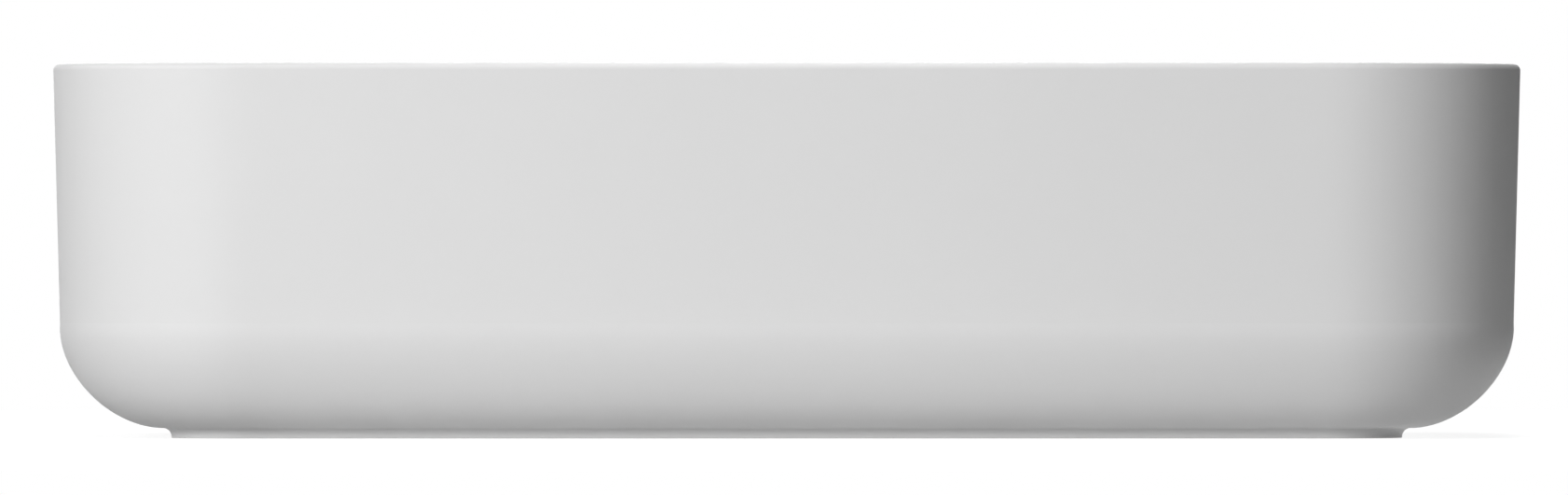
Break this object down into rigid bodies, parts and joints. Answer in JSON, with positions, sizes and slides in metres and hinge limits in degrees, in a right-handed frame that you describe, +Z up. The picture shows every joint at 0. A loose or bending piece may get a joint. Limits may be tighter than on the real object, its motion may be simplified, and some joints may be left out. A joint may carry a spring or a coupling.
{
  "type": "countertop basin",
  "caption": "Thin-rimmed rectangular ceramic countertop basin with rounded corners, a turned-under base on a recessed foot, and a sprung push-to-open waste plug.",
  "frame": {"origin": "on the worktop, at the middle of the foot's underside", "axes": "+Z up, X along the basin's width, front faces -Y"},
  "size_m": [0.55, 0.38, 0.14],
  "materials": {
    "glaze": "satin",
    "chrome": "polished",
    "brass": "machined",
    "rubber": "matte",
    "nylon": "satin",
    "steel": "drawn"
  },
  "bodies": {
    "basin": {"basin_body": "glaze", "waste_body": "chrome", "flange_seal": "rubber", "lower_seal": "rubber", "slip_washer": "nylon", "backnut": "brass", "cartridge_sleeve": "brass", "sleeve_locknut": "brass", "stem_bush": "nylon", "retaining_ring": "steel", "guide_pin": "steel", "cartridge_spring": "steel"},
    "plug": {"plunger": "chrome", "seal_carrier": "nylon", "plug_seal": "rubber", "cap_locknut": "brass", "plug_cap": "chrome"}
  },
  "joints": [
    {"name": "plug_push", "type": "slide", "parent": "basin", "child": "plug", "axis": [0, 0, 1], "range_m": [-0.0085, 0], "stiffness_N_per_m": 400, "springref_m": 0.02, "deforming": ["cartridge_spring"]}
  ]
}
